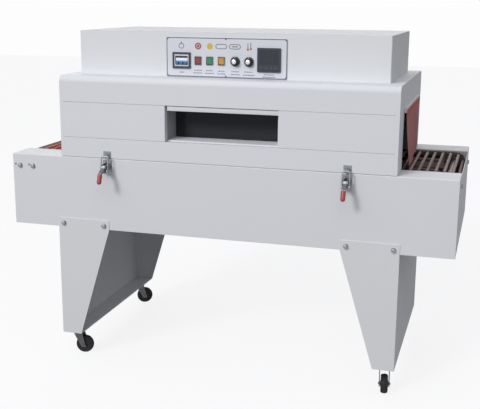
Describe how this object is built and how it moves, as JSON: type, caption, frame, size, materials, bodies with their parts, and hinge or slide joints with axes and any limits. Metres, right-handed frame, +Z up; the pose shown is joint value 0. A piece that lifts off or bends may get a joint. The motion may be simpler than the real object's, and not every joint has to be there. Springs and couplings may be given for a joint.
{
  "type": "shrink wrapping machine",
  "caption": "Shrink wrapping heat tunnel: lift-up insulated hood with window and control box over a roller rod chain conveyor, on tapered sheet legs with swivel casters and latch clamps.",
  "frame": {"origin": "on the floor, in the middle of the overall length and depth", "axes": "+X along the conveyor towards the exit on the picture's right, +Y from the front with the switches towards the back, +Z up"},
  "size_m": [1.4226, 0.7122, 1.076],
  "materials": {
    "enamel_white": "satin powder coat, pale warm grey white",
    "galvanised": "dull galvanised sheet",
    "zinc": "bright zinc plate",
    "chain_steel": "oiled dark steel",
    "silicone_sleeve": "matte brown red silicone sleeve",
    "motor_paint": "blue grey hammer paint",
    "heater_steel": "heat stained stainless steel",
    "black_plastic": "black moulding",
    "dark_glass": "smoked heat proof glass",
    "wool": "pale yellow mineral wool",
    "panel_blue": "printed face plate",
    "pale_plastic": "pale grey moulding",
    "curtain": "coated heat proof cloth, brick red",
    "grip_red": "dipped red vinyl",
    "red_plastic": "red translucent moulding",
    "green_plastic": "green translucent moulding",
    "amber_plastic": "amber translucent moulding",
    "wheel_black": "black moulded wheel"
  },
  "bodies": {
    "base": {"base_front_panel": "enamel_white", "base_back_panel": "enamel_white", "base_floor_tray": "galvanised", "base_end_plates": "enamel_white", "leg_left": "enamel_white", "leg_right": "enamel_white", "hex_bolts": "zinc", "conveyor_chains": "chain_steel", "conveyor_rods": "silicone_sleeve", "conveyor_sprockets": "chain_steel", "conveyor_shafts": "zinc", "shaft_bearings": "chain_steel", "gear_motor": "motor_paint", "conveyor_rails": "galvanised", "lower_heaters": "heater_steel", "caster_plates": "zinc", "clamp_bases": "zinc", "hinge_base_leaves": "zinc", "cable_gland": "black_plastic"},
    "hood": {"hood_top_cover": "enamel_white", "hood_front_panels": "enamel_white", "hood_back_panel": "enamel_white", "hood_end_frame_left": "enamel_white", "hood_end_frame_right": "enamel_white", "window_frame": "enamel_white", "window_glass": "dark_glass", "tunnel_liner": "galvanised", "hood_insulation": "wool", "upper_heaters": "heater_steel", "fan_motor": "motor_paint", "curtain_bars": "zinc", "control_box_cover": "enamel_white", "control_panel": "panel_blue", "breaker_body": "pale_plastic", "temperature_controller": "black_plastic", "clamp_keepers": "zinc", "hinge_hood_leaves": "zinc"},
    "circulation_fan": {"fan_impeller": "heater_steel"},
    "breaker_lever": {"breaker_toggle": "black_plastic"},
    "left_curtain": {"curtain_left": "curtain"},
    "left_clamp_lever": {"clamp_lever_left": "zinc", "clamp_grip_left": "grip_red"},
    "left_clamp_hook": {"clamp_hook_left": "zinc"},
    "right_curtain": {"curtain_right": "curtain"},
    "right_clamp_lever": {"clamp_lever_right": "zinc", "clamp_grip_right": "grip_red"},
    "right_clamp_hook": {"clamp_hook_right": "zinc"},
    "red_rocker": {"rocker_red": "red_plastic"},
    "green_rocker": {"rocker_green": "green_plastic"},
    "amber_rocker": {"rocker_amber": "amber_plastic"},
    "speed_knob": {"knob_speed": "black_plastic"},
    "fan_knob": {"knob_fan": "black_plastic"},
    "front_left_fork": {"caster_fork_front_left": "zinc"},
    "front_left_wheel": {"caster_wheel_front_left": "wheel_black"},
    "back_left_fork": {"caster_fork_back_left": "zinc"},
    "back_left_wheel": {"caster_wheel_back_left": "wheel_black"},
    "front_right_fork": {"caster_fork_front_right": "zinc"},
    "front_right_wheel": {"caster_wheel_front_right": "wheel_black"},
    "back_right_fork": {"caster_fork_back_right": "zinc"},
    "back_right_wheel": {"caster_wheel_back_right": "wheel_black"}
  },
  "joints": [
    {"name": "hood_lift", "type": "hinge", "parent": "base", "child": "hood", "pos_m": [0, 0.3489, 0.6836], "axis": [-1, 0, 0], "range_deg": [0, 55]},
    {"name": "fan_spin", "type": "hinge", "parent": "hood", "child": "circulation_fan", "pos_m": [0, 0.03, 0.883], "axis": [0, 0, 1], "continuous": true},
    {"name": "breaker_switch", "type": "hinge", "parent": "hood", "child": "breaker_lever", "pos_m": [-0.15, -0.1955, 0.991], "axis": [-1, 0, 0], "range_deg": [0, 56]},
    {"name": "left_clamp_throw", "type": "hinge", "parent": "base", "child": "left_clamp_lever", "pos_m": [-0.373, -0.312, 0.661], "axis": [-1, 0, 0], "range_deg": [0, 100]},
    {"name": "left_hook_tilt", "type": "hinge", "parent": "left_clamp_lever", "child": "left_clamp_hook", "pos_m": [-0.373, -0.308, 0.648], "axis": [-1, 0, 0], "range_deg": [-112, 0]},
    {"name": "left_curtain_swing", "type": "hinge", "parent": "hood", "child": "left_curtain", "pos_m": [-0.5395, 0.03, 0.8512], "axis": [0, 1, 0], "range_deg": [-75, 75]},
    {"name": "right_clamp_throw", "type": "hinge", "parent": "base", "child": "right_clamp_lever", "pos_m": [0.388, -0.312, 0.661], "axis": [-1, 0, 0], "range_deg": [0, 100]},
    {"name": "right_hook_tilt", "type": "hinge", "parent": "right_clamp_lever", "child": "right_clamp_hook", "pos_m": [0.388, -0.308, 0.648], "axis": [-1, 0, 0], "range_deg": [-112, 0]},
    {"name": "right_curtain_swing", "type": "hinge", "parent": "hood", "child": "right_curtain", "pos_m": [0.5395, 0.03, 0.8512], "axis": [0, -1, 0], "range_deg": [-75, 75]},
    {"name": "red_rocker_tilt", "type": "hinge", "parent": "hood", "child": "red_rocker", "pos_m": [-0.097, -0.2025, 0.991], "axis": [1, 0, 0], "range_deg": [0, 16]},
    {"name": "green_rocker_tilt", "type": "hinge", "parent": "hood", "child": "green_rocker", "pos_m": [-0.0595, -0.2025, 0.991], "axis": [1, 0, 0], "range_deg": [0, 16]},
    {"name": "amber_rocker_tilt", "type": "hinge", "parent": "hood", "child": "amber_rocker", "pos_m": [-0.022, -0.2025, 0.991], "axis": [1, 0, 0], "range_deg": [0, 16]},
    {"name": "speed_knob_turn", "type": "hinge", "parent": "hood", "child": "speed_knob", "pos_m": [0.022, -0.2125, 0.991], "axis": [0, -1, 0], "range_deg": [-140, 140]},
    {"name": "fan_knob_turn", "type": "hinge", "parent": "hood", "child": "fan_knob", "pos_m": [0.0655, -0.2125, 0.991], "axis": [0, -1, 0], "range_deg": [-140, 140]},
    {"name": "front_left_swivel", "type": "hinge", "parent": "base", "child": "front_left_fork", "pos_m": [-0.517, -0.234, 0.06], "axis": [0, 0, 1], "continuous": true},
    {"name": "front_left_roll", "type": "hinge", "parent": "front_left_fork", "child": "front_left_wheel", "pos_m": [-0.49719, -0.23122, 0.03], "axis": [-0.1392, 0.9903, 0], "continuous": true},
    {"name": "back_left_swivel", "type": "hinge", "parent": "base", "child": "back_left_fork", "pos_m": [-0.517, 0.294, 0.06], "axis": [0, 0, 1], "continuous": true},
    {"name": "back_left_roll", "type": "hinge", "parent": "back_left_fork", "child": "back_left_wheel", "pos_m": [-0.49934, 0.30339, 0.03], "axis": [-0.4695, 0.8829, 0], "continuous": true},
    {"name": "front_right_swivel", "type": "hinge", "parent": "base", "child": "front_right_fork", "pos_m": [0.517, -0.234, 0.06], "axis": [0, 0, 1], "continuous": true},
    {"name": "front_right_roll", "type": "hinge", "parent": "front_right_fork", "child": "front_right_wheel", "pos_m": [0.51978, -0.25381, 0.03], "axis": [0.9903, 0.1392, 0], "continuous": true},
    {"name": "back_right_swivel", "type": "hinge", "parent": "base", "child": "back_right_fork", "pos_m": [0.517, 0.294, 0.06], "axis": [0, 0, 1], "continuous": true},
    {"name": "back_right_roll", "type": "hinge", "parent": "back_right_fork", "child": "back_right_wheel", "pos_m": [0.49887, 0.28555, 0.03], "axis": [0.4226, -0.9063, 0], "continuous": true}
  ],
  "couplings": [
    {"joint": "left_hook_tilt", "follows": "left_clamp_throw", "ratio": -1.1},
    {"joint": "right_hook_tilt", "follows": "right_clamp_throw", "ratio": -1.1}
  ]
}
